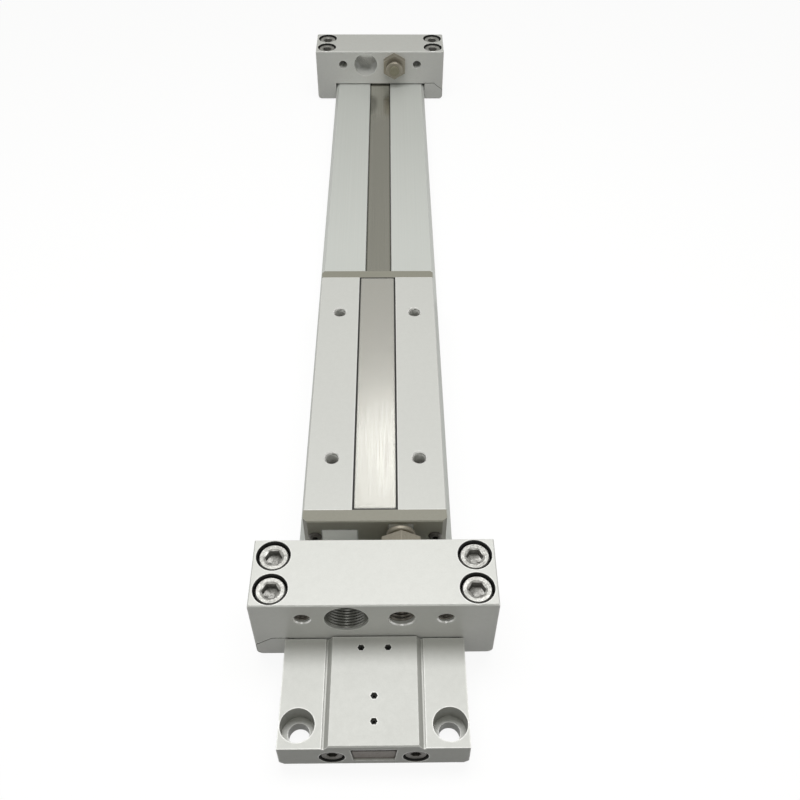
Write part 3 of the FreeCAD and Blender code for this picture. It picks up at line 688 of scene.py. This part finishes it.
def make_thread():
    """Winds a V-shaped ridge upwards from every point: the turns of a screw thread."""
    tree, given, out = new_group("thread", GEOMETRY_TREE,
                                 {"Points": GEOMETRY, "Radius": FLOAT, "Ridge": FLOAT, "Turns": FLOAT,
                                  "Length": FLOAT, "Steps": WHOLE, "Finish": MATERIAL},
                                 {"Geometry": GEOMETRY})
    helix = add(tree, "GeometryNodeCurveSpiral",
                {"Resolution": given["Steps"], "Rotations": given["Turns"], "Start Radius": given["Radius"],
                 "End Radius": given["Radius"], "Height": given["Length"]}).outputs[0]
    upright = add(tree, "GeometryNodeSetCurveNormal", {"Curve": helix}, mode="Z_UP").outputs[0]
    ridge = add(tree, "GeometryNodeCurvePrimitiveCircle",
                {"Resolution": ridge_corners, "Radius": given["Ridge"]}, mode="RADIUS").outputs[0]
    turns = add(tree, "GeometryNodeCurveToMesh",
                {"Curve": upright, "Profile Curve": ridge, "Fill Caps": True}).outputs[0]
    return set_on_points(tree, given, turns, out)


set_out = make_set_out()
thread = make_thread()


def grow(tree, points, facing, values):
    """Runs a tree on points whose pattern faces a direction, and gives back the plain mesh."""
    turn = turn_to(facing)
    seeds = bpy.data.meshes.new("seeds")
    seeds.from_pydata([turn.inverted() @ Vector(point) for point in points], [], [])
    holder = bpy.data.objects.new("seeds", seeds)
    bpy.context.scene.collection.objects.link(holder)
    modifier = holder.modifiers.new("grow", "NODES")
    modifier.node_group = tree
    for socket in tree.interface.items_tree:
        if socket.item_type == "SOCKET" and socket.in_out == "INPUT" and socket.name in values:
            modifier[socket.identifier] = values[socket.name]
    holder.update_tag()
    ready = holder.evaluated_get(bpy.context.evaluated_depsgraph_get())
    mesh = bpy.data.meshes.new_from_object(ready)
    bpy.data.objects.remove(holder)
    mesh.transform(turn)
    return mesh


def repeat(name, pattern, points, facing, body, finish_name="plated_steel"):
    """Copies of one pattern at several places, as one piece on a body."""
    model = bpy.data.objects.new(name + "_pattern", pattern)
    mesh = grow(set_out, points, facing, {"Pattern": model, "Finish": finishes[finish_name]})
    bpy.data.objects.remove(model)
    return settle(new_object(name, mesh, screw_sharp), body)


def thread_mesh(starts, along, radius, pitch, length, finish_name, steps=hole_thread_steps):
    """The mesh of thread ridges of one size, wound along a direction from where they start."""
    return grow(thread, starts, along,
                {"Radius": radius, "Ridge": thread_fill * pitch / 2, "Turns": length / pitch,
                 "Length": length, "Steps": steps, "Finish": finishes[finish_name]})


def hole_thread(name, mouths, inward, radius, pitch, depth, body, lead=hole_chamfer,
                finish_name="shaded_thread"):
    """The thread cut in holes of one size, from below their chamfers, as one piece on a body."""
    sink = lead + pitch / 2
    starts = [Vector(mouth) + Vector(inward) * sink for mouth in mouths]
    mesh = thread_mesh(starts, inward, radius, pitch, depth - sink, finish_name)
    settle(new_object(name, mesh), body)


def hole_rims(name, mouths, inward, radius, body):
    """The bright countersunk mouths of holes of one size, bare cut metal partly painted as highlight, as one
    piece on a body.
    """
    outer = radius + hole_chamfer - rim_sink
    ring = turned_mesh(name, [
        (-rim_sink, outer - rim_wall), (-hole_chamfer, radius - rim_wall),
        (-hole_chamfer, radius - rim_ease), (-rim_sink, outer - rim_ease)], hollow=True)
    repeat(name, ring, mouths, -Vector(inward), body, "bright_cut_and_light")


# Places, read from the frame

mounts = {mount["name"]: mount for mount in frame["record"]["mounts"]}
table_low, table_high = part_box("slide_table")
table_middle = (table_low.y + table_high.y) / 2
heads_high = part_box("head_covers")[1]
holder_boxes = {end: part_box("stop_holder_" + tag) for end, tag in ends.items()}


def outward_y(box, end):
    """Where a box stops towards an end of the cylinder."""
    low, high = box
    return low.y if end == NEAR else high.y


def pattern_holes(mount):
    """The middles of a bolt pattern's holes: a row across, or two rows where it has a spacing along Y."""
    x, y, z = mounts[mount]["pos_m"]
    dims = mounts[mount]["dims"]
    half_x = dims["spacing_x_mm"] * MM / 2
    half_y = dims.get("spacing_y_mm", 0) * MM / 2
    rows = SIDES if half_y else (0,)
    return [Vector((x + i * half_x, y + j * half_y, z)) for i in SIDES for j in rows]


# Screws, and black rings of painted shade in their wells

def make_holder_screws():
    """Four socket screws in each stop holder."""
    low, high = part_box("holder_screws")
    places = []
    for holder_low, holder_high in holder_boxes.values():
        middle = (holder_low.y + holder_high.y) / 2
        reach = high.y - holder_head_radius - abs(middle)
        for x in (low.x + holder_head_radius, high.x - holder_head_radius):
            places += [Vector((x, middle + side * reach, low.z)) for side in SIDES]
    head = socket_head("holder_head", holder_head_radius, holder_head_height, holder_socket)
    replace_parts(repeat("holder_screw_heads", head, places, UP, "cylinder"), "holder_screws")
    # Painted shade: a black ring lines each well, for the shaded gap round the head.
    well = holder_boxes[NEAR][1].z - low.z - shade_ring_sink
    repeat("holder_well_rings", shade_ring("holder_shade_ring", holder_well_radius, well), places, UP,
           "cylinder", "black_rubber")


def make_end_screws():
    """Two socket screws in the end face of each head cover."""
    low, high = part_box("head_cover_screws")
    level = (low.z + high.z) / 2
    head = socket_head("end_head", end_head_radius, end_head_height, end_socket)
    for end, tag in ends.items():
        outward = (0, end, 0)
        seat = outward_y((low, high), end) - end * end_head_height
        places = [Vector((x, seat, level)) for x in (low.x + end_head_radius, high.x - end_head_radius)]
        heads = repeat("end_screw_heads_" + tag, head, places, outward, "cylinder",
                       finish_name="oiled_steel")
        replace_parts(heads, "head_cover_screws")
        # Painted shade: a black ring lines each well, for the shaded gap round the head.
        well = heads_high.y - abs(seat) - shade_ring_sink
        repeat("end_well_rings_" + tag, shade_ring("end_shade_ring", end_well_radius, well), places, outward,
               "cylinder", "black_rubber")


def make_set_screws():
    """Four set screws in the pad of each head cover."""
    level = heads_high.z - set_screw_sink
    places = []
    for end in ends:
        places += [Vector((0, end * (heads_high.y - inset), level)) for inset in set_screw_insets]
        over_belts = end * (heads_high.y - belt_screw_inset)
        places += [Vector((side * belt_screw_half, over_belts, level)) for side in SIDES]
    repeat("belt_set_screws", set_screw(), places, UP, "cylinder", finish_name="black_steel")


def make_cover_screws():
    """Two domed screws in each end cover of the table."""
    pattern = cover_screw()
    for end, tag in ends.items():
        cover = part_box("end_cover_" + tag)
        level = cover[1].z - cover_screw_drop
        places = [Vector((side * cover_screw_x, outward_y(cover, end), level)) for side in SIDES]
        repeat("cover_screws_" + tag, pattern, places, (0, end, 0), "table", finish_name="oiled_steel")


make_holder_screws()
make_end_screws()
make_set_screws()
make_cover_screws()


# Cut threads in the holders, the ports and the table; the near absorber hole is painted dark as shade, the
# far one painted bright as light

# Painted shade and light: the near absorber thread is dark and the far one bright, for the shade and light
# in their holes.
absorber_finishes = {NEAR: "cut_thread", FAR: "bright_cut_and_light"}


def cut_holder_threads(end, tag):
    """The threads in a holder's outer face: absorber hole, stop bolt's hole beside it, and bracket holes."""
    face = outward_y(holder_boxes[end], end)
    inward = Vector((0, -end, 0))
    absorber = mounts["absorber_thread_" + tag]
    x, _, z = absorber["pos_m"]
    hole_thread("absorber_thread_" + tag, [(x, face, z)], inward, absorber["dims"]["r_mm"] * MM,
                absorber_pitch, absorber_thread_depth, "cylinder", 0.0, absorber_finishes[end])
    stop_mouth = [(-x, face, z)]
    hole_thread("stop_thread_" + tag, stop_mouth, inward, stop_hole_radius, stop_pitch, stop_thread_depth,
                "cylinder")
    hole_rims("stop_rim_" + tag, stop_mouth, inward, stop_hole_radius, "cylinder")
    bracket = "bracket_holes_" + tag
    bracket_radius = mounts[bracket]["dims"]["hole_r_mm"] * MM
    bracket_mouths = [Vector((hole.x, face, hole.z)) for hole in pattern_holes(bracket)]
    hole_thread("bracket_threads_" + tag, bracket_mouths, inward, bracket_radius, small_pitch,
                bracket_thread_depth, "cylinder")
    hole_rims("bracket_rims_" + tag, bracket_mouths, inward, bracket_radius, "cylinder")


def cut_port_thread(tag):
    """The thread of the air port in a head cover's side."""
    port = mounts["air_port_" + tag]
    _, y, z = port["pos_m"]
    hole_thread("port_thread_" + tag, [(heads_high.x, y, z)], (-1, 0, 0), port["dims"]["r_mm"] * MM,
                small_pitch, port["dims"]["length_mm"] * MM, "cylinder")


def cut_table_threads():
    """The four threads in the table's top."""
    radius = mounts["table_holes"]["dims"]["hole_r_mm"] * MM
    mouths = [Vector((hole.x, hole.y, table_high.z)) for hole in pattern_holes("table_holes")]
    hole_thread("table_threads", mouths, DOWN, radius, small_pitch, table_thread_depth, "table",
                finish_name="clean_thread")
    hole_rims("table_rims", mouths, DOWN, radius, "table")


for end, tag in ends.items():
    cut_holder_threads(end, tag)
    cut_port_thread(tag)
cut_table_threads()


# Black strip of painted shade in the gap round the cover plate

def make_gap_shade_strip():
    """A black strip of painted shade that fills the gap round the cover plate, with a lip over the plate's
    eased edge.
    """
    plate_low, plate_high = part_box("cover_plate")
    gap = plate_low.y - table_low.y
    inner_x, outer_x = plate_high.x + gap_strip_ease, plate_high.x + gap - gap_strip_ease
    inner_y = (plate_high.y - plate_low.y) / 2 + gap_strip_ease
    outer_y = (table_high.y - table_low.y) / 2
    foot, top = plate_low.z + gap_strip_ease, plate_high.z - gap_strip_sink
    section = [(foot, inner_x, inner_y), (plate_high.z - plate_edge, inner_x, inner_y),
               (top, inner_x - gap_strip_lip, inner_y - gap_strip_lip), (top, outer_x, outer_y),
               (foot, outer_x, outer_y)]
    corners = ((-1, -1), (1, -1), (1, 1), (-1, 1))
    loops = [[(i * x, table_middle + j * y, level) for i, j in corners] for level, x, y in section]
    mesh = skin("strip_gasket", loops, around=True)
    mesh.materials.append(finishes["black_rubber"])
    settle(new_object("strip_gasket", mesh), "table")


make_gap_shade_strip()


# Stop bolts with their threads, and the bumpers on their tips

def bolt_axis(tag):
    """Where a stop bolt's axis lies: X and Z."""
    low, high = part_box("stop_bolt_" + tag)
    return (low.x + high.x) / 2, (low.z + high.z) / 2


def make_stop_bolt(end, tag):
    """A threaded stop bolt from its tail to the round cap that holds the bumper."""
    low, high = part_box("stop_bolt_" + tag)
    cap = (high.x - low.x) / 2
    length = high.y - low.y
    neck = length - bolt_cap_length
    bolt = turned_mesh("bolt", [
        (0, bolt_core - bolt_point), (bolt_point, bolt_core), (neck, bolt_core), (neck, cap - bolt_cap_edge),
        (neck + bolt_cap_edge, cap), (length - bolt_cap_edge, cap), (length, cap - bolt_cap_edge)],
        small_segments)
    x, z = bolt_axis(tag)
    tail = Vector((x, outward_y((low, high), end), z))
    inward = Vector((0, -end, 0))
    bolt.transform(Matrix.Translation(tail) @ turn_to(inward))
    bolt.materials.append(finishes["aged_zinc"])
    ridge_radius = bolt_crest - thread_fill * stop_pitch / 2
    ridges = thread_mesh([tail + inward * stop_pitch / 2], inward, ridge_radius, stop_pitch,
                         neck - stop_pitch, "aged_zinc", bolt_thread_steps)
    work = bmesh.new()
    work.from_mesh(bolt)
    work.from_mesh(ridges)
    work.to_mesh(bolt)
    work.free()
    piece = settle(new_object("threaded_stop_bolt_" + tag, bolt), tag + "_stop")
    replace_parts(piece, "stop_bolt_" + tag)


def make_bumper(end, tag):
    """The rounded bumper on a stop bolt's cap."""
    low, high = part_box("bolt_bumper_" + tag)
    radius = (high.x - low.x) / 2
    height = high.y - low.y
    profile = [(rise * height, reach * radius) for rise, reach in bumper_profile]
    tip = turned_mesh("tip", profile, small_segments)
    x, z = bolt_axis(tag)
    foot = (x, outward_y((low, high), end), z)
    tip.transform(Matrix.Translation(foot) @ turn_to((0, -end, 0)))
    tip.materials.append(finishes["urethane"])
    piece = settle(new_object("bumper_tip_" + tag, tip), tag + "_stop")
    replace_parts(piece, "bolt_bumper_" + tag)


for end, tag in ends.items():
    make_stop_bolt(end, tag)
    make_bumper(end, tag)


# Belts: a flat run at each end, and the raised or sunk run that travels with the table

def belt_route(level, crest, inner, outer):
    """Points and normals of the run inside the table, with every bend rounded."""
    corners = [Vector((table_middle - outer, level)), Vector((table_middle - inner, crest)),
               Vector((table_middle + inner, crest)), Vector((table_middle + outer, level))]
    lead = Vector((1, 0))
    ways = [lead] + [(b - a).normalized() for a, b in zip(corners, corners[1:])] + [lead]
    route = []
    for corner, before, after in zip(corners, ways, ways[1:]):
        turn = before.angle_signed(after)
        reach = bend_radius * math.tan(abs(turn) / 2)
        begin = corner - before * reach
        side = math.copysign(1, before.cross(after))
        centre = begin + Vector((-before.y, before.x)) * side * bend_radius
        for k in range(bend_steps + 1):
            lean = math.atan2(before.y, before.x) + side * abs(turn) * k / bend_steps
            normal = Vector((-math.sin(lean), math.cos(lean)))
            route.append((centre - normal * side * bend_radius, normal))
    return route


def belt_piece(name, route, width, thickness, finish_name, slot):
    """A strip with eased edges along a route of (y, z) points and their normals."""
    ease = belt_ease * thickness
    half, rise = width / 2, thickness / 2
    section = [(-half, -rise + ease), (-half + ease, -rise), (half - ease, -rise), (half, -rise + ease),
               (half, rise - ease), (half - ease, rise), (-half + ease, rise), (-half, rise - ease)]
    loops = [[(x, *(point + normal * z)) for x, z in section] for point, normal in route]
    mesh = skin(name, loops)
    mesh.materials.append(finishes[finish_name])
    piece = new_object(name, mesh, belt_sharp)
    return piece


def make_belt(node, level, crest, ramp, *strip):
    """A belt in three pieces: a flat run to the table from each end, and the bent run at the table."""
    low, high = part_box(node)
    route = belt_route(level, crest, *ramp)
    first, last = route[0][0], route[-1][0]
    flat = Vector((0, 1))
    bent = belt_piece(node + "_at_table", route, *strip)
    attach(bent, "table")
    near_run = [(Vector((low.y, level)), flat), (first, flat)]
    near = belt_piece(node + "_near_run", near_run, *strip)
    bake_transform(near)
    far_run = [(last, flat), (Vector((high.y, level)), flat)]
    far = belt_piece(node + "_far_run", far_run, *strip)
    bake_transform(far)
    for piece in (bent, near, far):
        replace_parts(piece, node)


make_belt("dust_belt", dust_level, dust_crest, dust_ramp,
          dust_width, dust_thickness, "belt_steel", "stainless_belt")
make_belt("seal_belt", seal_level, seal_dip, seal_ramp,
          seal_width, seal_thickness, "seal_urethane", "seal_urethane")


# Floor, light and camera

def shown_rays(tree):
    """One for the rays that show floor and wall: to the eye, in gloss and through glass."""
    seen = add(tree, "ShaderNodeLightPath").outputs
    looks = maths(tree, "ADD", seen["Is Camera Ray"], seen["Is Glossy Ray"])
    return add(tree, "ShaderNodeMath", {0: looks, 1: seen["Is Transmission Ray"]}, operation="ADD",
               use_clamp=True).outputs[0]


def make_floor():
    """A floor that shows white to the eye and in gloss, keeps the shadow and throws little light back."""
    material = bpy.data.materials.new("pale_floor")
    material.use_nodes = True
    tree = material.node_tree
    tree.nodes.remove(tree.nodes["Principled BSDF"])
    glow = add(tree, "ShaderNodeEmission", {"Color": opaque(white), "Strength": floor_glow}).outputs[0]
    shadowed = add(tree, "ShaderNodeBsdfDiffuse", {"Color": opaque(floor_pale)}).outputs[0]
    shown = add(tree, "ShaderNodeMixShader", {0: floor_shadow_share, 1: glow, 2: shadowed}).outputs[0]
    dim = add(tree, "ShaderNodeBsdfDiffuse", {"Color": opaque(floor_dim)}).outputs[0]
    mixed = add(tree, "ShaderNodeMixShader", {0: shown_rays(tree), 1: dim, 2: shown}).outputs[0]
    tree.links.new(mixed, tree.nodes["Material Output"].inputs["Surface"])
    mesh = bpy.data.meshes.new("floor")
    corners = ((-1, -1), (1, -1), (1, 1), (-1, 1))
    mesh.from_pydata([(i * floor_half, j * floor_half, -floor_drop) for i, j in corners], [], [(0, 1, 2, 3)])
    mesh.materials.append(material)
    floor = bpy.data.objects.new("floor", mesh)
    bpy.context.scene.collection.objects.link(floor)


def make_room():
    """A soft room: dim at the horizon and brighter overhead, and shown as a white wall behind the floor."""
    world = bpy.data.worlds.new("soft_room")
    world.use_nodes = True
    bpy.context.scene.world = world
    tree = world.node_tree
    height = along_axis(tree, coordinates(tree, "Generated"), "Z")
    level = spread(tree, height, *room_light, *room_range)
    blue = maths(tree, "MULTIPLY", level, room_blue)
    light = add(tree, "ShaderNodeCombineColor", {0: level, 1: level, 2: blue}).outputs[0]
    wall = maths(tree, "MULTIPLY", spread(tree, height, 1.0, 0.0, *wall_range), shown_rays(tree))
    tree.links.new(mix(tree, wall, light, white), tree.nodes["Background"].inputs["Color"])


def make_lamp(name, spot, target, size, power):
    """An oval lamp: size is its width across the object and its width along it."""
    lamp = bpy.data.lights.new(name, "AREA")
    lamp.shape = "ELLIPSE"
    lamp.size, lamp.size_y = size
    lamp.energy = power
    holder = bpy.data.objects.new(name, lamp)
    holder.location = spot
    holder.rotation_euler = (Vector(spot) - Vector(target)).to_track_quat("Z", "Y").to_euler()
    bpy.context.scene.collection.objects.link(holder)


def make_camera():
    """The camera, at the place and turn that the photograph was taken from."""
    lens = bpy.data.cameras.new("photo_camera")
    lens.sensor_width = camera_film
    lens.lens = camera_lens
    lens.clip_start = camera_clip
    camera = bpy.data.objects.new("photo_camera", lens)
    camera.location = camera_spot
    camera.rotation_euler = [math.radians(angle) for angle in camera_turn]
    bpy.context.scene.collection.objects.link(camera)
    bpy.context.scene.camera = camera


make_floor()
make_room()
make_lamp("overhead_lamp", spot=(0.0, -0.06, 0.46), target=(0.0, -0.26, 0.0), size=(0.5, 0.2), power=1.35)
make_lamp("gloss_lamp", spot=(0.0, 0.55, 0.85), target=(0.0, -0.14, 0.02), size=(0.12, 0.12), power=0.12)
make_lamp("front_lamp", spot=(0.0, -1.07, 0.55), target=(0.0, -0.2, 0.02), size=(0.2, 0.2), power=0.38)
make_camera()
bpy.context.scene.view_settings.view_transform = "Standard"
